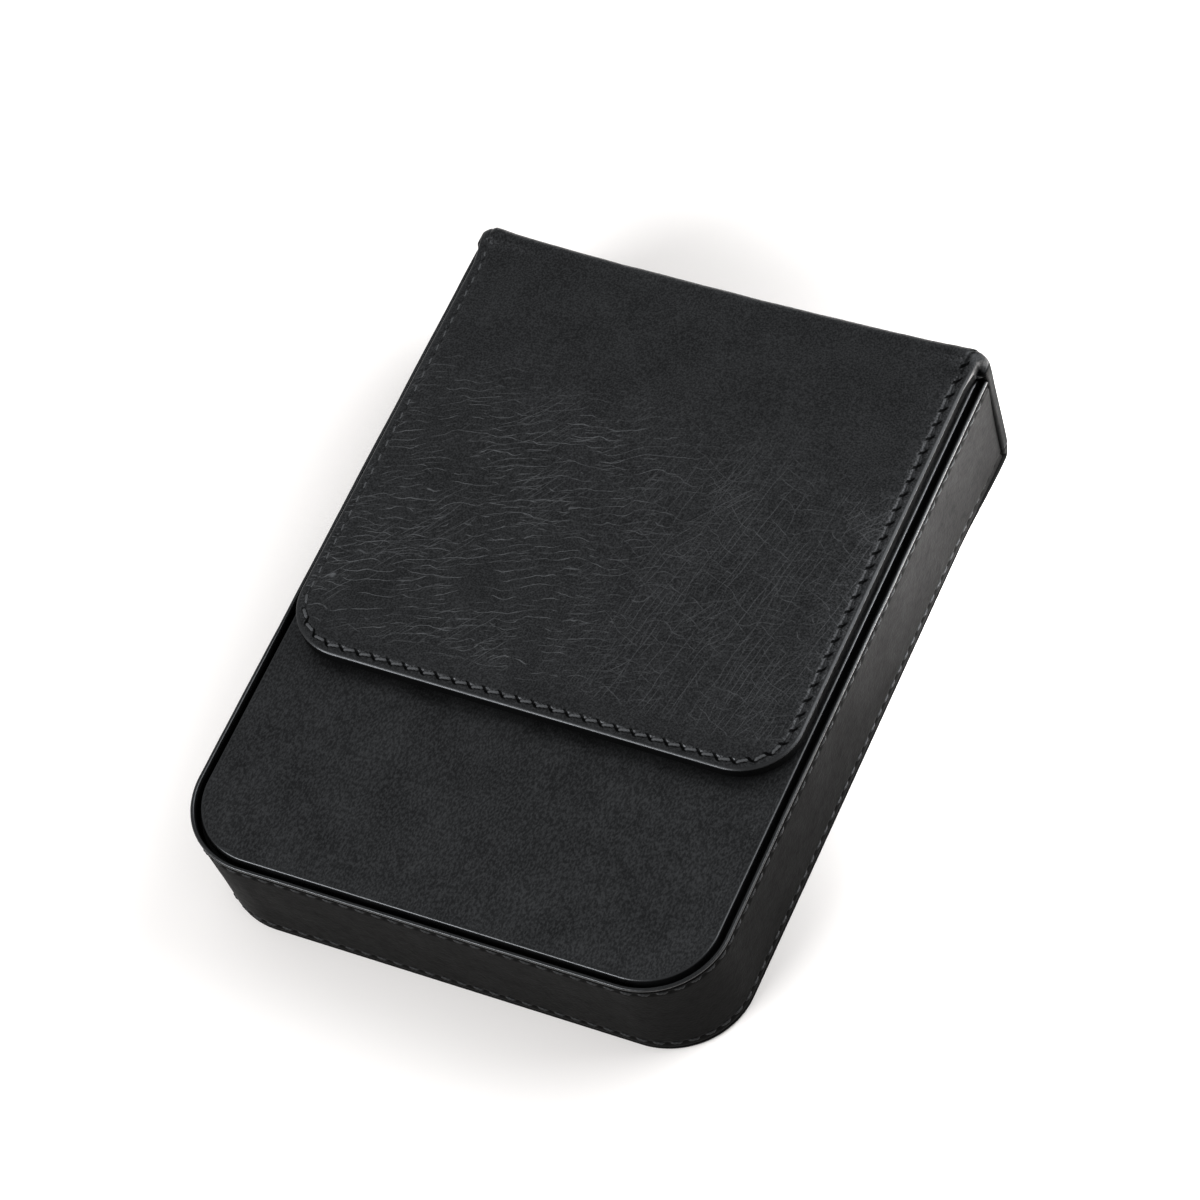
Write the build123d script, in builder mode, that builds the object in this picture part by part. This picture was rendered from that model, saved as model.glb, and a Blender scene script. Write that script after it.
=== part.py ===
"""Flap case: a flat, hard-sided leather box with a rounded end and a magnetic flap.

The case lies on its back. +Z is up through the front, +Y points to the hinged end, and the
origin is on the back face, below the middle of the case. All sizes are in millimetres.

Three bodies move against each other: the case (back, U-shaped side wall and front panel),
the spine that closes the mouth of the case, and the flap that folds over the front.
"""

from build123d import *
import os

# ---------------------------------------------------------------- driving dimensions
case_width = 120.0  # across the rim of the side wall
case_length = 160.0  # rounded end to the outer face of the spine
rim_height = 30.0  # back face to the top of the side wall
flap_top = 34.8  # back face to the outer face of the flap
corner_radius = 17.5  # rounded end of the case, measured at the rim

end_lean = 2.8  # the rounded end leans inwards by this much at the back
side_lean = 0.5  # each side leans inwards by this much at the back

leather = 1.2  # outer leather
turned_leather = 1.0  # leather thinned where it is turned over an edge
wall_board = 2.0  # stiffener in the side wall
back_board = 1.6  # stiffener in the back
front_board = 2.2  # stiffener in the front panel
flap_board = 1.5  # stiffener in the flap
spine_board = 0.9  # stiffener in the spine
foam = 1.2  # padding under the flap's leather
lining = 0.6  # lining of the case and the flap
spine_lining = 0.5  # thinner lining of the spine

groove = 1.2  # width of the groove between the rim and the front panel
panel_depth = 4.0  # the front panel sits this deep inside the rim
play = 0.3  # gap between pieces that move against each other

flap_half_width = 57.25
flap_cover = 109.1  # from the outer face of the spine to the flap's free end
flap_corner_radius = 13.1
edge_round = 0.8  # rounded outer edge of the flap
panel_edge_round = 0.6  # rounded outer edge of the front panel

base_fold_radius = 1.0  # fold between back and spine
top_fold_radius = 1.5  # fold between spine and flap
shoulder_round = 2.0  # rounded top corners of the spine, beside the flap

magnet_radius = 6.0
magnet_height = 1.0
magnet_spread = 30.0  # each magnet's distance from the middle of the case
magnet_setback = 11.0  # magnets' distance from the flap's free end

stitch_pitch = 3.7
stitch_length = 2.9
thread_radius = 0.2
stitch_inset = 2.0  # stitch lines' distance from the edge they follow
channel_width = 0.9  # sunken channel that a stitch line lies in
channel_depth = 0.45

# ---------------------------------------------------------------- derived places
half_width = case_width / 2
half_length = case_length / 2
spine_inner = half_length - leather - spine_board - spine_lining
wall_end = spine_inner - play
board_end = wall_end - turned_leather  # the wall's leather is turned in over its board's ends
inner_face = leather + wall_board + lining  # inset of the cavity from the outside
panel_inset = leather + groove
panel_bottom = rim_height - panel_depth
panel_core_inset = panel_inset + turned_leather
back_inside = leather + back_board  # top of the back's stiffener

base_axis = (half_length - base_fold_radius, base_fold_radius)
top_axis = (half_length - top_fold_radius, flap_top - top_fold_radius)
back_end = base_axis[0] - base_fold_radius
flap_end = top_axis[0] - top_fold_radius
spine_bottom = 2 * base_fold_radius + play
spine_top = flap_top - 2 * top_fold_radius - play

flap_bottom = rim_height + play
flap_free = half_length - flap_cover
flap_core_inset = turned_leather
flap_board_bottom = flap_bottom + lining
flap_foam_bottom = flap_board_bottom + flap_board
magnet_y = flap_free + magnet_setback
magnet_places = [(-magnet_spread, magnet_y), (magnet_spread, magnet_y)]
rim_stitch_z = rim_height - stitch_inset
base_stitch_z = leather + stitch_inset

os.makedirs("parts", exist_ok=True)


# ---------------------------------------------------------------- shared profiles
def rounded_end(z, half, end_y, hinge_y, radius):
    """A face at height z: square at the hinged end, two round corners at the other."""
    with BuildSketch(Plane.XY.offset(z)) as profile:
        with Locations((0, (end_y + hinge_y) / 2)):
            Rectangle(2 * half, hinge_y - end_y)
        fillet(profile.vertices().group_by(Axis.Y)[0], radius)
    return profile.sketch


def case_profile(z, inset, hinge_y):
    """The case's outline at height z, moved inwards by inset. The walls lean with height."""
    lean = 1 - z / rim_height
    half = half_width - side_lean * lean - inset
    end_y = -half_length + end_lean * lean + inset
    return rounded_end(z, half, end_y, hinge_y, corner_radius - inset)


def flap_profile(z, inset, hinge_y):
    """The flap's outline at height z, moved inwards by inset."""
    radius = flap_corner_radius - inset
    return rounded_end(z, flap_half_width - inset, flap_free + inset, hinge_y, radius)


def spine_profile(y, inset):
    """The spine's outline in a plane across the case, with its rounded top corners."""
    with BuildSketch(Plane.XZ.offset(-y)) as profile:
        with Locations((0, (spine_bottom + spine_top) / 2)):
            Rectangle(2 * (half_width - inset), spine_top - spine_bottom)
        fillet(profile.vertices().group_by(Axis.Z)[-1], shoulder_round)
    return profile.sketch


def stitch_places(profile):
    """Places along a rounded-end outline, leaving out its straight edge at the hinged end.

    They are one stitch pitch apart, and each has its X axis along the outline.
    """
    path = Wire(profile.edges().sort_by(Axis.Y)[:-1])
    count = round(path.length / stitch_pitch)
    steps = [(index + 0.5) / count for index in range(count)]
    return [Plane(path @ step, x_dir=path % step, z_dir=(0, 0, 1)).location for step in steps]


def export(part, name):
    """Names a finished piece and writes it to its own file."""
    part.label = name
    export_step(part, f"parts/{name}.step")


# ---------------------------------------------------------------- case: back
with BuildPart() as back_leather:
    loft([case_profile(0, 0, back_end), case_profile(leather, 0, back_end)], ruled=True)
export(back_leather.part, "back_leather")

with BuildPart() as back_board_sheet:
    with BuildSketch(Plane.XY.offset(leather)):
        add(case_profile(leather, leather + play, wall_end))
    extrude(amount=back_board)
export(back_board_sheet.part, "back_board")

with BuildPart() as back_lining:
    with BuildSketch(Plane.XY.offset(back_inside)):
        add(case_profile(back_inside, inner_face + play, wall_end))
    extrude(amount=lining)
export(back_lining.part, "back_lining")


# ---------------------------------------------------------------- case: side wall
def wall_layer(outer_inset, thickness, bottom, top, end=wall_end):
    """One U-shaped layer of the side wall, open at the hinged end."""
    inner_inset = outer_inset + thickness
    past_end = end + thickness
    with BuildPart() as layer:
        loft([case_profile(z, outer_inset, end) for z in (bottom, top)], ruled=True)
        loft(
            [case_profile(z, inner_inset, past_end) for z in (bottom, top)],
            ruled=True,
            mode=Mode.SUBTRACT,
        )
    return layer.part


def wall_channel(middle):
    """The sunken channel round the outside of the wall that a stitch line lies in."""
    low = middle - channel_width / 2
    high = middle + channel_width / 2
    return wall_layer(0, channel_depth, low, high)


def wall_stitches(height):
    """A stitch line round the side wall at one height: one short thread per stitch."""
    with BuildPart() as stitches:
        with Locations(*stitch_places(case_profile(height, thread_radius, wall_end))):
            Cylinder(thread_radius, stitch_length, rotation=(0, 90, 0))
    return stitches.part


def mouth_turns():
    """The wall's leather turned in over the two ends of its stiffener, at the mouth."""
    with BuildPart() as turns:
        add(wall_layer(leather, wall_board + lining, back_inside, panel_bottom))
        with Locations((0, (board_end + wall_end) / 2, rim_height / 2)):
            Box(case_width, turned_leather, rim_height, mode=Mode.INTERSECT)
    return turns.part


with BuildPart() as wall_leather:
    add(wall_layer(0, leather, leather, rim_height))
    add(mouth_turns())
    add(wall_channel(rim_stitch_z), mode=Mode.SUBTRACT)
    add(wall_channel(base_stitch_z), mode=Mode.SUBTRACT)
export(wall_leather.part, "wall_leather")

wall_board_layer = wall_layer(leather, wall_board, back_inside, panel_bottom, board_end)
wall_lining_inset = leather + wall_board
wall_lining_layer = wall_layer(wall_lining_inset, lining, back_inside, panel_bottom, board_end)
export(wall_board_layer, "wall_board")
export(wall_lining_layer, "wall_lining")
export(wall_stitches(rim_stitch_z), "rim_stitching")
export(wall_stitches(base_stitch_z), "base_stitching")

# ---------------------------------------------------------------- case: front panel
with BuildPart() as front_leather:
    loft(
        [case_profile(z, panel_inset, wall_end) for z in (panel_bottom, rim_height)],
        ruled=True,
    )
    loft(
        [
            case_profile(z, panel_core_inset, wall_end - turned_leather)
            for z in (panel_bottom, rim_height - leather)
        ],
        ruled=True,
        mode=Mode.SUBTRACT,
    )
    top_edges = front_leather.faces().sort_by(Axis.Z)[-1].edges().sort_by(Axis.Y)[:-1]
    fillet(top_edges, panel_edge_round)
export(front_leather.part, "front_leather")

with BuildPart() as front_board_sheet:
    with BuildSketch(Plane.XY.offset(panel_bottom + lining)):
        add(case_profile(panel_bottom, panel_core_inset, wall_end - turned_leather))
    extrude(amount=front_board)
    with BuildSketch(Plane.XY.offset(rim_height - leather)):
        with Locations(*magnet_places):
            Circle(magnet_radius)
    extrude(amount=-magnet_height, mode=Mode.SUBTRACT)
export(front_board_sheet.part, "front_board")

with BuildPart() as front_lining:
    with BuildSketch(Plane.XY.offset(panel_bottom)):
        add(case_profile(panel_bottom, panel_core_inset, wall_end - turned_leather))
    extrude(amount=lining)
export(front_lining.part, "front_lining")

with BuildPart() as catch_plates:
    with BuildSketch(Plane.XY.offset(rim_height - leather - magnet_height)):
        with Locations(*magnet_places):
            Circle(magnet_radius)
    extrude(amount=magnet_height)
export(catch_plates.part, "catch_plates")


# ---------------------------------------------------------------- folds
def fold(axis, radius, half):
    """A rolled strip of leather along a fold, round the line that the fold turns about."""
    with BuildPart() as strip:
        with BuildSketch(Plane.YZ.offset(-half)):
            with Locations(axis):
                Circle(radius)
        extrude(amount=2 * half)
    return strip.part


export(fold(base_axis, base_fold_radius, half_width - side_lean), "base_fold")
export(fold(top_axis, top_fold_radius, half_width - shoulder_round), "top_fold")

# ---------------------------------------------------------------- spine
spine_leather_inner = half_length - leather
spine_stitched = spine_top - shoulder_round - spine_bottom  # length of each side's stitch line
spine_stitch_x = half_width - stitch_inset


def spine_side_stitches():
    """A line of stitches up each side of the spine, one short thread per stitch."""
    count = int(spine_stitched / stitch_pitch)
    heights = [spine_bottom + (index + 0.5) * stitch_pitch for index in range(count)]
    thread_y = half_length - thread_radius
    places = [(side * spine_stitch_x, thread_y, z) for z in heights for side in (-1, 1)]
    with BuildPart() as stitches:
        with Locations(*places):
            Cylinder(thread_radius, stitch_length)
    return stitches.part


with BuildPart() as spine_leather:
    with BuildSketch(Plane.XZ.offset(-half_length)):
        add(spine_profile(half_length, 0))
    extrude(amount=leather)
    channel_y = half_length - channel_depth / 2
    channel_z = spine_bottom + spine_stitched / 2
    with Locations((-spine_stitch_x, channel_y, channel_z), (spine_stitch_x, channel_y, channel_z)):
        Box(channel_width, channel_depth, spine_stitched, mode=Mode.SUBTRACT)
export(spine_leather.part, "spine_leather")

with BuildPart() as spine_board_sheet:
    with BuildSketch(Plane.XZ.offset(-spine_leather_inner)):
        add(spine_profile(spine_leather_inner, turned_leather))
    extrude(amount=spine_board)
export(spine_board_sheet.part, "spine_board")

with BuildPart() as spine_lining_sheet:
    with BuildSketch(Plane.XZ.offset(-(spine_inner + spine_lining))):
        add(spine_profile(spine_inner + spine_lining, turned_leather))
    extrude(amount=spine_lining)
export(spine_lining_sheet.part, "spine_lining")

export(spine_side_stitches(), "spine_stitching")

# ---------------------------------------------------------------- flap
with BuildPart() as flap_leather:
    with BuildSketch(Plane.XY.offset(flap_bottom)):
        add(flap_profile(flap_bottom, 0, flap_end))
    extrude(amount=flap_top - flap_bottom)
    with BuildSketch(Plane.XY.offset(flap_bottom)):
        add(flap_profile(flap_bottom, flap_core_inset, flap_end + leather))
    extrude(amount=flap_top - leather - flap_bottom, mode=Mode.SUBTRACT)
    top_edges = flap_leather.faces().sort_by(Axis.Z)[-1].edges().sort_by(Axis.Y)[:-1]
    fillet(top_edges, edge_round)
    with BuildSketch(Plane.XY.offset(flap_top)):
        add(flap_profile(flap_top, stitch_inset - channel_width / 2, flap_end))
        add(
            flap_profile(flap_top, stitch_inset + channel_width / 2, flap_end + channel_width),
            mode=Mode.SUBTRACT,
        )
    extrude(amount=-channel_depth, mode=Mode.SUBTRACT)
export(flap_leather.part, "flap_leather")


def flap_layer(bottom, thickness):
    """One full layer inside the flap's turned edge."""
    with BuildPart() as layer:
        with BuildSketch(Plane.XY.offset(bottom)):
            add(flap_profile(bottom, flap_core_inset, flap_end))
        extrude(amount=thickness)
    return layer.part


export(flap_layer(flap_bottom, lining), "flap_lining")
export(flap_layer(flap_foam_bottom, foam), "flap_foam")

with BuildPart() as flap_board_sheet:
    add(flap_layer(flap_board_bottom, flap_board))
    with BuildSketch(Plane.XY.offset(flap_board_bottom)):
        with Locations(*magnet_places):
            Circle(magnet_radius)
    extrude(amount=magnet_height, mode=Mode.SUBTRACT)
export(flap_board_sheet.part, "flap_board")

with BuildPart() as flap_magnets:
    with BuildSketch(Plane.XY.offset(flap_board_bottom)):
        with Locations(*magnet_places):
            Circle(magnet_radius)
    extrude(amount=magnet_height)
export(flap_magnets.part, "flap_magnets")

with BuildPart() as flap_stitching:
    with Locations(*stitch_places(flap_profile(flap_top - thread_radius, stitch_inset, flap_end))):
        Cylinder(thread_radius, stitch_length, rotation=(0, 90, 0))
export(flap_stitching.part, "flap_stitching")
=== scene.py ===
"""Looks of the flap case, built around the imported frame.

Lengths are in metres; MM turns millimetres into metres. Every leather piece is a dense mesh
made on a flat pattern (x across, v along, h above the surface) and then bent into place, so
its grain, creases and stitches follow the hide round the folds.
"""

import math

import bmesh
import bpy
import numpy as np
from mathutils import Matrix, Vector


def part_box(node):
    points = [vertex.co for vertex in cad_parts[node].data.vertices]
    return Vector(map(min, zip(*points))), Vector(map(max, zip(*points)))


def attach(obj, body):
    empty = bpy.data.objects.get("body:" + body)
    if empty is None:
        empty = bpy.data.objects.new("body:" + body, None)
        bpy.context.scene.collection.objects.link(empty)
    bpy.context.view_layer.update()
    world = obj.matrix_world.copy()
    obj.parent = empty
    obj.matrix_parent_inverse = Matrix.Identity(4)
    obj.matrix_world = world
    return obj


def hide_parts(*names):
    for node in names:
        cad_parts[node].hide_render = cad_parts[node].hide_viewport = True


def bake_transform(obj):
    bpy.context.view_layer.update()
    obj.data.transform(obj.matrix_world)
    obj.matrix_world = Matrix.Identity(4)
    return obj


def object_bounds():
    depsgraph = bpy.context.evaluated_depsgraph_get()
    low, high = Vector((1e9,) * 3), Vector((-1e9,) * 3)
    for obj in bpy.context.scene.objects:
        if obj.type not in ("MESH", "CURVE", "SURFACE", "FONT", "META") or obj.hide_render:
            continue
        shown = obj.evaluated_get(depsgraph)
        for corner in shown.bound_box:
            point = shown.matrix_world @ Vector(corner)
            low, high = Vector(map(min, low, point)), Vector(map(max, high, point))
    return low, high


MM = 0.001
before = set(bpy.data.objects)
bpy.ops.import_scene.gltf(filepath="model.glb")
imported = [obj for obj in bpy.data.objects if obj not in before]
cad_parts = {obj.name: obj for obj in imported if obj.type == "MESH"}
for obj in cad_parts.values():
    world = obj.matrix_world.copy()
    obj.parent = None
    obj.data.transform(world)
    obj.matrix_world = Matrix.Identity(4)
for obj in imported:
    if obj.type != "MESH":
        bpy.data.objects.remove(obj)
cad_low, cad_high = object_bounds()

# ---------------------------------------------------------------- sizes from the frame
wall_low, wall_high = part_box("wall_leather")
back_low, back_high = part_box("back_leather")
panel_low, panel_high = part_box("front_leather")
flap_low, flap_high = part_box("flap_leather")
spine_lining_low, spine_lining_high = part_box("spine_lining")
flap_lining_low, flap_lining_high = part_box("flap_lining")
rim_thread_low, rim_thread_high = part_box("rim_stitching")
base_thread_low, base_thread_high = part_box("base_stitching")

rim_z = wall_high.z
rim_half = wall_high.x
rim_end = wall_low.y
back_half = back_high.x
back_end = back_low.y
flap_top = flap_high.z
flap_half = flap_high.x
flap_free = flap_low.y
flap_bottom = flap_low.z
spine_face = cad_high.y
mouth = wall_high.y
panel_half = panel_high.x
panel_end = panel_low.y
panel_floor = panel_low.z
hide = back_high.z
spine_inner = spine_lining_low.y

CORNER = 17.5 * MM  # round corners of the case at the rim
BACK_CORNER = 17.5 * MM
FLAP_CORNER = 13.1 * MM
STITCH_PITCH = 3.7 * MM
STITCH_INSET = 2.0 * MM
FOLD_RADIUS = 2.3 * MM  # outside of the fold between spine and flap
BASE_RADIUS = 2.2 * MM  # outside of the fold between back and spine
SEAM_Z = 4.2 * MM  # where the flap's hide meets the back's hide on the spine
BASE_FLARE = 0.5 * MM  # the spine is a little wider at its base
STEP = 0.45 * MM  # spacing of the leather meshes


# ---------------------------------------------------------------- numbers
def smooth(low, high, value):
    """0 below low, 1 above high, and a smooth ramp between them."""
    t = np.clip((value - low) / (high - low), 0, 1)
    return t * t * (3 - 2 * t)


def lattice(i, j, k, seed):
    """A repeatable number from -1 to 1 for each whole-number point."""
    mixed = np.sin(i * 127.1 + j * 311.7 + k * 74.7 + seed * 19.19) * 43758.5453
    return 2 * (mixed - np.floor(mixed)) - 1


def noise(points, size, seed):
    """Smooth noise from -1 to 1 whose lumps are about size across."""
    q = np.asarray(points, float) / size
    base = np.floor(q)
    f = q - base
    u = f * f * f * (f * (f * 6 - 15) + 10)
    total = np.zeros(len(q))
    for corner in range(8):
        step = np.array([corner & 1, corner >> 1 & 1, corner >> 2 & 1])
        weight = np.prod(np.where(step, u, 1 - u), axis=1)
        total += weight * lattice(*(base + step).T, seed)
    return total


def layered(points, size, seed, layers=3):
    """Several layers of noise, each finer and weaker than the last."""
    total = np.zeros(len(points))
    for layer in range(layers):
        total += noise(points, size / 2**layer, seed + layer) / 2**layer
    return total


# ---------------------------------------------------------------- outlines
class Outline:
    """A round-ended outline: up one side, round the free end and back down the other side.

    Its stations keep their order at every inset, so insets of one outline match up.
    """

    def __init__(self, half, free, hinge, radius, step):
        self.half, self.free, self.hinge, self.radius = half, free, hinge, radius
        side = max(2, round((hinge - free - radius) / step))
        corner = max(6, round(radius * math.pi / 2 / step))
        end = max(2, round(2 * (half - radius) / step))
        self.side_count, self.corner_count, self.end_count = side, corner, end

    def ring(self, inset, half=None, free=None, radius=None):
        """(x, y, outward x, outward y, travel) of each station at an inset."""
        half = (self.half if half is None else half) - inset
        free = (self.free if free is None else free) + inset
        radius = max((self.radius if radius is None else radius) - inset, 0.0)
        down = np.linspace(self.hinge, free + radius, self.side_count + 1)
        turn = np.linspace(0, math.pi / 2, self.corner_count + 1)
        across = np.linspace(-(half - radius), half - radius, self.end_count + 1)
        x = [np.full(len(down), -half)]
        y = [down]
        nx = [np.full(len(down), -1.0)]
        ny = [np.zeros(len(down))]
        x.append(-(half - radius) - radius * np.cos(turn[1:]))
        y.append(free + radius - radius * np.sin(turn[1:]))
        nx.append(-np.cos(turn[1:]))
        ny.append(-np.sin(turn[1:]))
        x.append(across[1:])
        y.append(np.full(len(across) - 1, free))
        nx.append(np.zeros(len(across) - 1))
        ny.append(np.full(len(across) - 1, -1.0))
        x.append(half - radius + radius * np.sin(turn[1:]))
        y.append(free + radius - radius * np.cos(turn[1:]))
        nx.append(np.sin(turn[1:]))
        ny.append(-np.cos(turn[1:]))
        x.append(np.full(len(down) - 1, half))
        y.append(down[::-1][1:])
        nx.append(np.full(len(down) - 1, 1.0))
        ny.append(np.zeros(len(down) - 1))
        x, y, nx, ny = (np.concatenate(part) for part in (x, y, nx, ny))
        travel = np.concatenate([[0], np.cumsum(np.hypot(np.diff(x), np.diff(y)))])
        return x, y, nx, ny, travel


def mark(piece, name, values):
    """Stores one vector per point for the materials to read."""
    attribute = piece.data.attributes.new(name, "FLOAT_VECTOR", "POINT")
    attribute.data.foreach_set("vector", np.asarray(values, np.float32).ravel())


def mesh_piece(name, verts, faces, flat=None):
    """A smooth-shaded mesh object; flat is the pattern place of each point, for the grain."""
    mesh = bpy.data.meshes.new(name)
    mesh.from_pydata([tuple(v) for v in verts], [], [tuple(f) for f in faces])
    mesh.validate()
    mesh.polygons.foreach_set("use_smooth", [True] * len(mesh.polygons))
    mesh.update()
    piece = bpy.data.objects.new(name, mesh)
    bpy.context.scene.collection.objects.link(piece)
    if flat is not None:
        mark(piece, "flat", flat)
    return piece


def strips(rows, columns, start=0, flip=False):
    """Quads of a grid of rows x columns points stored row by row."""
    r = np.arange(rows - 1)[:, None]
    c = np.arange(columns - 1)[None, :]
    a = (start + r * columns + c).ravel()
    quads = np.stack([a, a + 1, a + 1 + columns, a + columns], axis=1)
    return quads[:, ::-1] if flip else quads


def hide_pattern(outline, rings):
    """Points and quads of a whole hide: edge rings, then a plain grid inside the last ring.

    rings is a list of (inset, drop): drop is how far down the turned edge that ring is, from
    1 at the bottom to 0 on the face. Returns x, y, inset, drop, travel, quads.
    """
    parts = []
    for inset, drop in rings:
        x, y, _, _, _ = outline.ring(inset)
        travel = outline.ring(STITCH_INSET)[4]
        parts.append((x, y, np.full(len(x), inset), np.full(len(x), drop), travel))
    count = len(parts[0][0])
    quads = [strips(len(rings), count)]
    # the last ring has square corners, so its sides are the edges of a plain grid
    last = len(rings) - 1
    s, c, e = outline.side_count, outline.corner_count, outline.end_count
    left = [last * count + i for i in range(s + 1)]
    bottom = [last * count + s + c + i for i in range(e + 1)]
    right = [last * count + s + 2 * c + e + i for i in range(s + 1)][::-1]
    x_last, y_last = parts[-1][0], parts[-1][1]
    xs = x_last[s + c : s + c + e + 1]
    ys = y_last[: s + 1]
    grid = np.full((s + 1, e + 1), -1, int)
    grid[:, 0] = left
    grid[:, -1] = right
    grid[-1, :] = bottom
    start = count * len(rings)
    inner_x, inner_y = np.meshgrid(xs[1:-1], ys[:-1])
    grid[:-1, 1:-1] = start + np.arange(inner_x.size).reshape(inner_x.shape)
    edge_x = np.minimum(inner_x - xs[0], xs[-1] - inner_x)
    deep = rings[-1][0] + np.minimum(edge_x, inner_y - ys[-1])
    zeros = np.zeros(inner_x.size)
    parts.append((inner_x.ravel(), inner_y.ravel(), deep.ravel(), zeros, zeros))
    a = grid[:-1, :-1].ravel()
    b = grid[:-1, 1:].ravel()
    cc = grid[1:, 1:].ravel()
    d = grid[1:, :-1].ravel()
    quads.append(np.stack([a, d, cc, b], axis=1))
    x, y, inset, drop, travel = (np.concatenate([p[i] for p in parts]) for i in range(5))
    return x, y, inset, drop, travel, np.concatenate(quads)


def clean(piece):
    """Joins points that fall on each other and drops faces with no area."""
    work = bmesh.new()
    work.from_mesh(piece.data)
    bmesh.ops.remove_doubles(work, verts=work.verts, dist=0.02 * MM)
    bmesh.ops.dissolve_degenerate(work, edges=work.edges, dist=0.005 * MM)
    bmesh.ops.recalc_face_normals(work, faces=work.faces)
    work.to_mesh(piece.data)
    work.free()


def thicken(piece, thickness):
    """Gives a hide its thickness, inwards from its face."""
    solid = piece.modifiers.new("thickness", "SOLIDIFY")
    solid.thickness = thickness
    solid.offset = -1
    solid.use_even_offset = False
    apply_modifiers(piece)


def apply_modifiers(piece):
    graph = bpy.context.evaluated_depsgraph_get()
    made = bpy.data.meshes.new_from_object(piece.evaluated_get(graph))
    old = piece.data
    piece.modifiers.clear()
    piece.data = made
    bpy.data.meshes.remove(old)


# ---------------------------------------------------------------- bending a flat pattern
class Bend:
    """Where a flat pattern goes: straight along one face, round a fold, then along the next.

    out_sign is +1 where the first face looks up and -1 where it looks down.
    """

    def __init__(self, free, face_z, radius, out_sign, last_y):
        self.free, self.face_z, self.radius, self.sign = free, face_z, radius, out_sign
        self.last_y = last_y
        self.centre_y = last_y - radius
        self.centre_z = face_z - out_sign * radius
        self.fold_start = self.centre_y - free
        self.fold_end = self.fold_start + radius * math.pi / 2

    def length_to(self, z):
        """Pattern length from the free end to a height on the spine."""
        return self.fold_end + self.sign * (self.centre_z - z)

    def blend_points(self):
        """Where a skin over the upper fold starts and stops bending."""
        start = (0, self.centre_y - 0.5 * MM, self.face_z)
        return start, (0, self.last_y, self.centre_z - 0.5 * MM)

    def place(self, x, v, h):
        turn = np.clip((v - self.fold_start) / self.radius, 0, math.pi / 2)
        past = np.maximum(v - self.fold_end, 0)
        before = np.minimum(v - self.fold_start, 0)
        reach = self.radius + h
        y = self.centre_y + reach * np.sin(turn) + before
        z = self.centre_z + self.sign * (reach * np.cos(turn) - past)
        return np.stack([x, y, z], axis=1)


def edge_rings(drop_size, round_size, hem):
    """Ring insets and drops from a turned hem, up the side and round to the face."""
    rings = [(inset * MM, 1.0) for inset in np.linspace(hem, 1.0, 6)]
    rings += [(0.35 * MM, 0.985), (0.1 * MM, 0.93), (0.0, 0.86)]
    share = round_size / drop_size
    rings += [(0.0, 1 - part * (1 - share)) for part in (0.35, 0.6, 0.8, 0.92)]
    for turn in np.linspace(0, math.pi / 2, 9):
        rings.append((round_size * (1 - math.cos(turn)), share * (1 - math.sin(turn))))
    return rings


def face_rings(start, radius):
    """Ring insets on the face: close together by the stitches, then to the square corners."""
    near = np.arange(start + 0.22 * MM, 3.0 * MM, 0.22 * MM)
    far = np.linspace(near[-1], radius, round((radius - near[-1]) / STEP) + 1)[1:]
    return [(inset, 0.0) for inset in (*near, *far)]


def crinkles(x, v, seed, along, across, spread):
    """Thin grooves, 1 in a groove and 0 away from it, that wander mostly one way."""
    points = np.stack([x, v, np.full(len(x), seed * MM)], axis=1)
    angle = math.radians(18) + spread * noise(points, 38 * MM, seed)
    warp = 1.2 * MM * noise(points, 7 * MM, seed + 5)
    u = np.cos(angle) * x + np.sin(angle) * v
    w = -np.sin(angle) * x + np.cos(angle) * v + warp
    streaks = noise(np.stack([u / along, w / across, points[:, 2]], axis=1), 1.0, seed + 9)
    return np.clip(1 - np.abs(streaks) * 5.0, 0, 1) ** 1.5


def stitch_wave(travel, total):
    """Distance along the seam from the nearest stitch hole."""
    count = round(total / STITCH_PITCH)
    pitch = total / count
    return (travel / pitch - np.round(travel / pitch)) * pitch


# ---------------------------------------------------------------- flap hide
EDGE_ROUND = 0.7 * MM
FLAP_DROP = flap_top - flap_bottom - 0.6 * MM
SPINE_DROP = spine_face - spine_inner
FOLD_DROP = FOLD_RADIUS + 0.5 * MM


def stitched_edge(inset, travel, total, strength=1.0):
    """Height of a face beside its stitch line: a sunken channel, holes and small puckers."""
    beside = np.exp(-(((inset - STITCH_INSET) / (0.42 * MM)) ** 2))
    # each hole is a slit from a slanting awl
    slanted = stitch_wave(travel, total) + 1.1 * (inset - STITCH_INSET)
    hole = np.exp(-((slanted / (0.4 * MM)) ** 2))
    tight = np.exp(-(((inset - STITCH_INSET) / (0.6 * MM)) ** 2))
    pucker = np.exp(-(((inset - STITCH_INSET - 1.3 * MM) / (0.8 * MM)) ** 2))
    swell = 1 - np.exp(-((stitch_wave(travel, total) / (0.9 * MM)) ** 2))
    height = -0.2 * MM * beside - 0.25 * MM * hole * tight + 0.04 * MM * pucker * swell
    return strength * height


def hide_width(bend, x, v):
    """Half width of the hide: the flap's, then wider round the fold to the spine's."""
    # the hide widens a little later on the left
    late = np.where(x < 0, 2.4, 0.8) * MM
    past = np.clip((v - bend.fold_start - late) / (6 * MM), 0, 1)
    widen = 0.3 * smooth(bend.fold_start - 7 * MM, bend.fold_start + 1 * MM, v)
    widen = widen + 0.7 * np.sqrt(1 - (1 - past) ** 2)
    flare = BASE_FLARE * smooth(bend.fold_end, bend.length_to(SEAM_Z), v)
    return flap_half + (rim_half - flap_half) * widen + flare


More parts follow.
